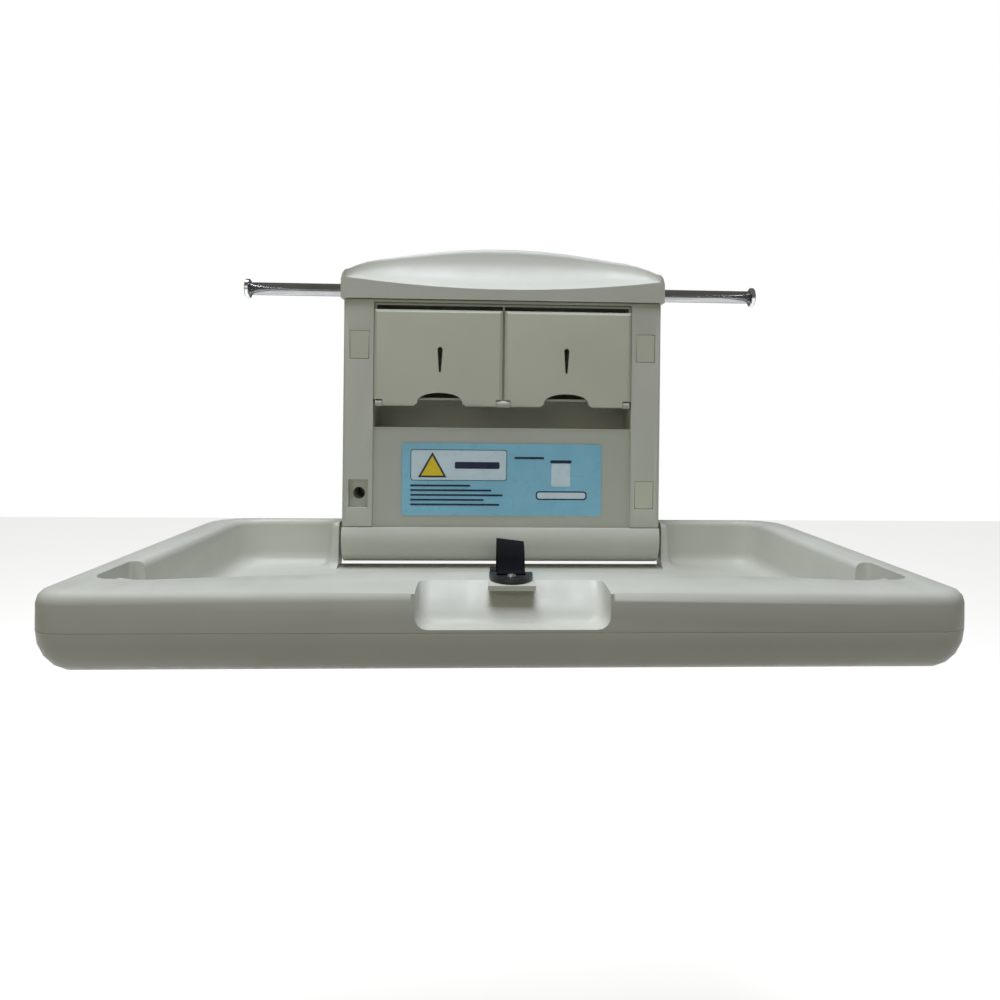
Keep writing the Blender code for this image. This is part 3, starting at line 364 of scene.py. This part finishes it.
def prism(name, outline, front, back):
    """A flat shape: a closed outline in X and Z, carried from front to back in Y."""
    outline = np.asarray(outline, float)
    n = len(outline)
    rings = [np.column_stack([outline[:, 0], np.full(n, y), outline[:, 1]]) for y in (front, back)]
    ring = np.arange(n)
    after = np.roll(ring, -1)
    sides = np.stack([ring, ring + n, after + n, after], -1).tolist()
    mesh = bpy.data.meshes.new(name)
    mesh.from_pydata(np.vstack(rings).tolist(), [], [ring.tolist(), (ring[::-1] + n).tolist()] + sides)
    bm = bmesh.new()
    bm.from_mesh(mesh)
    bmesh.ops.recalc_face_normals(bm, faces=bm.faces)
    bm.to_mesh(mesh)
    bm.free()
    return mesh


def round_box(x0, x1, z0, z1, radius, steps=8):
    """A rectangle in X and Z whose corners are quarter circles."""
    a = np.linspace(0, math.pi / 2, steps)
    centres = ((x1, z1, 0), (x0, z1, 1), (x0, z0, 2), (x1, z0, 3))
    parts = []
    for cx, cz, quarter in centres:
        turn = a + quarter * math.pi / 2
        inset_x = radius if cx == x0 else -radius
        inset_z = radius if cz == z0 else -radius
        x = cx + inset_x + radius * np.cos(turn)
        z = cz + inset_z + radius * np.sin(turn)
        parts.append(np.column_stack([x, z]))
    return np.vstack(parts)


def merged(name, meshes):
    """Several meshes as one."""
    bm = bmesh.new()
    for mesh in meshes:
        bm.from_mesh(mesh)
        bpy.data.meshes.remove(mesh)
    mesh = bpy.data.meshes.new(name)
    bm.to_mesh(mesh)
    bm.free()
    return mesh


# ---- the operators ------------------------------------------------------------------------------------
BOWL_SHARE = 0.8          # edge rounding of the lower shell, as a share of the usual one
BARREL_SHARE = 0.6        # of the hinge barrel
DOOR_SHARE = 1.5          # of the doors, as a share of the small one


class TrayShells(bpy.types.Operator):
    """Tray: upper and lower moulded shells."""
    bl_idname = "changing_table.tray_shells"
    bl_label = "Tray shells"

    def execute(self, context):
        edge = sizes().edge
        moulding("tray_upper", "shell", "tray", edge)
        moulding("tray_lower", "shell", "tray", edge * BOWL_SHARE)
        return {"FINISHED"}


class WallShells(bpy.types.Operator):
    """Wall unit: hood, housing, hinge barrel, liner bin and screw covers."""
    bl_idname = "changing_table.wall_shells"
    bl_label = "Wall unit shells"

    def execute(self, context):
        edge, small = sizes().edge, sizes().small_edge
        widths = {"hood": edge, "housing": edge, "hinge_barrel": edge * BARREL_SHARE, "liner_bin": small}
        for node, width in widths.items():
            moulding(node, "shell", "wall_unit", width)
        for node in ("cover_top_left", "cover_top_right", "cover_bottom_right"):
            moulding(node, "cover", "wall_unit", small)
        return {"FINISHED"}


class LinerDoors(bpy.types.Operator):
    """The two doors of the liner dispenser."""
    bl_idname = "changing_table.liner_doors"
    bl_label = "Liner doors"

    def execute(self, context):
        for side in ("left", "right"):
            width = sizes().small_edge * DOOR_SHARE
            moulding(f"{side}_liner_door", "cover", f"{side}_door", width)
        return {"FINISHED"}


class BagRods(bpy.types.Operator):
    """The two bag rods with their knobs."""
    bl_idname = "changing_table.bag_rods"
    bl_label = "Bag rods"

    def execute(self, context):
        for side in ("left", "right"):
            for node in (f"{side}_rod", f"{side}_rod_knob"):
                moulding(node, "chrome", f"{side}_rod", 0.0)
        return {"FINISHED"}


FRONT_ROUTE = (
    (-0.4530, 0.0284), (-0.4440, 0.0292), (-0.4375, 0.0360), (-0.4310, 0.0450), (-0.4200, 0.0535),
    (-0.4070, 0.0565), (-0.3950, 0.0520), (-0.3865, 0.0400), (-0.3820, 0.0220), (-0.3795, 0.0020),
    (-0.3775, -0.0160), (-0.3730, -0.0310), (-0.3665, -0.0385), (-0.3590, -0.0414), (-0.3515, -0.0414),
)
REAR_ROUTE = ((-0.2885, -0.0414), (-0.2200, -0.0412), (-0.1400, -0.0414), (-0.0620, -0.0414))
ARCH_FOOT = 0.030         # height at which the strap starts to lean
ARCH_RISE = 0.026         # further height over which the lean grows to its full amount


def webbing_strap(name, route, samples, lean):
    """A strap: a smooth path in Y and Z carried across X; where it stands high, its right edge drops."""
    size = sizes()
    path = smooth_path(route, samples)
    across = np.linspace(-1.0, 1.0, 13)
    rise = np.clip((path[:, 1] - ARCH_FOOT) / ARCH_RISE, 0.0, 1.0)
    x = np.broadcast_to(across * size.strap_half, (samples, len(across)))
    y = np.broadcast_to(path[:, :1] + AXIS_Y, x.shape)
    z = path[:, 1:] - lean * rise[:, None] * (across[None, :] + 1.0)
    points = np.stack([x, y, z], -1)
    run = np.concatenate([[0.0], np.cumsum(np.hypot(*np.diff(path, axis=0).T))])
    uv = np.stack([x, np.broadcast_to(run[:, None], x.shape)], -1)
    mesh = grid_mesh(name, points, uv)
    obj = add_piece(name, mesh, "webbing", "tray")
    thick = obj.modifiers.new("cloth", "SOLIDIFY")
    thick.thickness = size.strap_thick
    thick.offset = 0.0
    return obj


class SafetyBelt(bpy.types.Operator):
    """The belt: arched front strap, rear strap, bracket, buckle and anchor."""
    bl_idname = "changing_table.safety_belt"
    bl_label = "Safety belt"

    def execute(self, context):
        front = webbing_strap("front_belt", FRONT_ROUTE, 160, sizes().strap_lean / 2)
        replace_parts(front, "front_strap")
        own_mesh(front)
        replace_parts(webbing_strap("rear_belt", REAR_ROUTE, 60, 0.0), "rear_strap")
        for node in ("strap_bracket", "buckle_socket", "buckle_tongue", "rear_anchor"):
            moulding(node, "black", "tray", sizes().small_edge)
        for node in ("strap_screw", "rear_anchor_screw"):
            moulding(node, "zinc", "tray", 0.0)
        return {"FINISHED"}


# ---- the printed plate ------------------------------------------------------------------------------------
PRINT_LEFT = -0.135       # left end of the printed lines
PRINT_LINES = ((0.0785, 0.088), (0.0715, 0.119), (0.0645, 0.136), (0.0575, 0.108), (0.0505, 0.131))   # Z and run
LINE_HALF = 0.0013
PRINT_SINK = 0.98         # a layer starts this share of the way out, so that it sinks into the one below
PLATE_CORNER = 0.004      # corner radius of the plate and its frame
PLATE_EDGE = 0.0002       # rounding of the plate's edge


def layer(name, outlines, finish, level):
    """Printed shapes at one level above the plate's face."""
    low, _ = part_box("label_plate")
    thick = sizes().print_thick
    front = low.y - thick * (level + 1)
    back = low.y - thick * level * PRINT_SINK
    meshes = [prism(f"{name}_{k}", outline, front, back) for k, outline in enumerate(outlines)]
    return add_piece(name, merged(name, meshes), finish, "wall_unit")


def table_picture():
    """Outlines of a plain pictogram: a wall unit above an open tray with a round-cornered pad."""
    unit = round_box(0.073, 0.101, 0.078, 0.112, 0.003)
    tray = round_box(0.050, 0.126, 0.058, 0.071, 0.005)
    hood = round_box(0.071, 0.103, 0.1125, 0.117, 0.002)
    return unit, tray, hood


class PrintedPlate(bpy.types.Operator):
    """The plate on the lower panel, with plain generic marks and no lettering."""
    bl_idname = "changing_table.printed_plate"
    bl_label = "Printed plate"

    def execute(self, context):
        low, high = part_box("label_plate")
        ground = round_box(low.x, high.x, low.z, high.z, PLATE_CORNER)
        solid = prism("plate_ground", ground, low.y, high.y)
        plate = add_piece("plate_ground", solid, "blue", "wall_unit")
        round_edges(plate, PLATE_EDGE, 2)
        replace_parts(plate, "label_plate")
        layer("plate_frame", [round_box(PRINT_LEFT, 0.007, 0.0857, 0.1316, PLATE_CORNER)], "dark", 0)
        layer("plate_panel", [round_box(-0.134, 0.006, 0.0867, 0.1306, 0.0034)], "pale", 1)
        layer("plate_triangle_edge", [[(-0.124, 0.0905), (-0.082, 0.0905), (-0.103, 0.1278)]], "dark", 2)
        layer("plate_triangle", [[(-0.1195, 0.0930), (-0.0865, 0.0930), (-0.103, 0.1222)]], "yellow", 3)
        bars = [
            round_box(PRINT_LEFT, PRINT_LEFT + run, z - LINE_HALF, z + LINE_HALF, 0.0010, 4)
            for z, run in PRINT_LINES
        ]
        bars.append(round_box(-0.070, -0.004, 0.1035, 0.1135, 0.0020, 5))
        bars.append(round_box(0.018, 0.062, 0.1185, 0.1215, 0.0012, 4))
        layer("plate_bars", bars, "dark", 2)
        unit, tray, hood = table_picture()
        layer("plate_picture_dark", [hood, tray], "dark", 0)
        inner = round_box(0.052, 0.124, 0.0600, 0.0690, 0.0035)
        layer("plate_picture_pale", [unit, inner], "pale", 1)
        return {"FINISHED"}


class HiddenFittings(bpy.types.Operator):
    """Finishes for every CAD node that is still shown."""
    bl_idname = "changing_table.fittings"
    bl_label = "Fittings"

    def execute(self, context):
        slots = {s["node"]: s["material_slot"] for s in frame["record"]["subparts"]}
        words = {
            "shell_plastic": "shell", "cover_plastic": "cover", "zinc_steel": "zinc", "nylon": "nylon",
            "chrome": "chrome", "black_plastic": "black", "webbing": "webbing", "label": "blue",
        }
        for name, obj in frame["nodes"].items():
            for place in obj.material_slots:
                place.material = MATERIALS[words[slots[name]]]
            if not obj.material_slots:
                raise RuntimeError(f"{name} has no material slot")
        return {"FINISHED"}


# ---- the stage ----------------------------------------------------------------------------------------------
CAMERA_PLACE = (-0.0294, -1.3471, 0.1863)
CAMERA_TURN = math.radians(2.9456)
CAMERA_ROLL = math.radians(0.6189)
CAMERA_LENS = 30.93
CAMERA_SHIFT = (-0.02715, -0.0867)
AMBIENT = 0.135           # light from all round
BACKDROP = 1.0            # brightness of the plain backdrop
FLOOR_GLOW = 0.72         # the floor's own light, so that it stays pale
FLOOR_DROP = 0.72         # how far the floor lies below the hinge axis
FLOOR_HALF = 6.0
WHITE = (1.0, 1.0, 1.0, 1.0)
ROOM_TINT = (1.0, 0.97, 0.82, 1.0)
# place, target, size, power and colour
TOP_LIGHT = ((-0.25, -0.50, 2.90), (0.0, -0.30, 0.0), (2.6, 1.1), 90.0, (0.87, 0.92, 1.0))
FRONT_LIGHT = ((-0.9, -2.4, 0.9), (0.0, -0.2, 0.1), (1.4, 1.0), 4.2, (1.0, 0.96, 0.78))


def area_light(name, place, target, size, power, tint):
    """A soft light turned towards a point."""
    data = bpy.data.lights.new(name, "AREA")
    data.shape = "RECTANGLE"
    data.size, data.size_y = size
    data.energy = power
    data.color = tint
    obj = bpy.data.objects.new(name, data)
    obj.location = place
    obj.rotation_euler = (Vector(target) - Vector(place)).to_track_quat("-Z", "Y").to_euler()
    bpy.context.scene.collection.objects.link(obj)


class Stage(bpy.types.Operator):
    """Floor, soft lights and the camera."""
    bl_idname = "changing_table.stage"
    bl_label = "Stage"

    def execute(self, context):
        self.floor()
        area_light("top_light", *TOP_LIGHT)
        area_light("front_light", *FRONT_LIGHT)
        world = bpy.data.worlds.new("studio")
        world.use_nodes = True
        tree = world.node_tree
        ground = tree.nodes["Background"]
        ground.inputs["Color"].default_value = ROOM_TINT
        ground.inputs["Strength"].default_value = AMBIENT
        backdrop = tree.nodes.new("ShaderNodeBackground")
        backdrop.inputs["Color"].default_value = WHITE
        backdrop.inputs["Strength"].default_value = BACKDROP
        seen = tree.nodes.new("ShaderNodeLightPath")
        either = tree.nodes.new("ShaderNodeMixShader")
        tree.links.new(seen.outputs["Is Camera Ray"], either.inputs[0])
        tree.links.new(ground.outputs[0], either.inputs[1])
        tree.links.new(backdrop.outputs[0], either.inputs[2])
        tree.links.new(either.outputs[0], tree.nodes["World Output"].inputs["Surface"])
        context.scene.world = world
        context.scene.view_settings.view_transform = "Standard"
        self.camera(context)
        return {"FINISHED"}

    def floor(self):
        """A wide flat floor; it shows and is mirrored, but throws no light on the table."""
        side = np.linspace(-FLOOR_HALF, FLOOR_HALF, 2)
        x, y = np.meshgrid(side, side, indexing="ij")
        mesh = grid_mesh("floor", np.stack([x, y, np.full_like(x, -FLOOR_DROP)], -1))
        t = Tree("pale_floor", tuple(finish_colours().floor), 0.7)
        t.link(t.tint(t.noise(3.0, 3.0), 0.98, 1.0), "Base Color")
        t.shader.inputs["Emission Color"].default_value = WHITE
        t.shader.inputs["Emission Strength"].default_value = FLOOR_GLOW
        obj = bpy.data.objects.new("floor", mesh)
        mesh.materials.append(t.mat)
        bpy.context.scene.collection.objects.link(obj)
        obj.visible_diffuse = False

    def camera(self, context):
        """A level camera turned a little to the right, with a slight roll."""
        ahead = Vector((math.sin(CAMERA_TURN), math.cos(CAMERA_TURN), 0.0))
        right = Vector((math.cos(CAMERA_TURN), -math.sin(CAMERA_TURN), 0.0))
        up = Vector((0.0, 0.0, 1.0))
        rolled_right = math.cos(CAMERA_ROLL) * right + math.sin(CAMERA_ROLL) * up
        rolled_up = -math.sin(CAMERA_ROLL) * right + math.cos(CAMERA_ROLL) * up
        turn = Matrix((rolled_right, rolled_up, -ahead)).transposed().to_4x4()
        data = bpy.data.cameras.new("camera")
        data.lens = CAMERA_LENS
        data.sensor_width = 36.0
        data.shift_x, data.shift_y = CAMERA_SHIFT
        obj = bpy.data.objects.new("camera", data)
        obj.matrix_world = Matrix.Translation(CAMERA_PLACE) @ turn
        context.scene.collection.objects.link(obj)
        context.scene.camera = obj


OPERATORS = (TrayShells, WallShells, LinerDoors, BagRods, SafetyBelt, PrintedPlate, HiddenFittings, Stage)


class ChangingTablePanel(bpy.types.Panel):
    """Lists the pieces, sizes and colours."""
    bl_label = "Changing table"
    bl_idname = "VIEW3D_PT_changing_table"
    bl_space_type = "VIEW_3D"
    bl_region_type = "UI"
    bl_category = "Changing table"

    def draw(self, context):
        for group in (sizes(), finish_colours()):
            for key in group.__annotations__:
                self.layout.prop(group, key)
        for operator in OPERATORS:
            self.layout.operator(operator.bl_idname)


CLASSES = (TableFinish, TableSizes) + OPERATORS + (ChangingTablePanel,)


def register():
    """Make the classes known to Blender."""
    for cls in CLASSES:
        bpy.utils.register_class(cls)
    bpy.types.Scene.changing_table_finish = PointerProperty(type=TableFinish)
    bpy.types.Scene.changing_table_sizes = PointerProperty(type=TableSizes)


def unregister():
    """Take them away again."""
    del bpy.types.Scene.changing_table_sizes
    del bpy.types.Scene.changing_table_finish
    for cls in reversed(CLASSES):
        bpy.utils.unregister_class(cls)


def main():
    """Build everything in order."""
    register()
    make_materials()
    for operator in OPERATORS:
        group, name = operator.bl_idname.split(".")
        result = getattr(getattr(bpy.ops, group), name)()
        if result != {"FINISHED"}:
            raise RuntimeError(f"{operator.bl_label} did not finish")


if __name__ == "__main__":
    main()
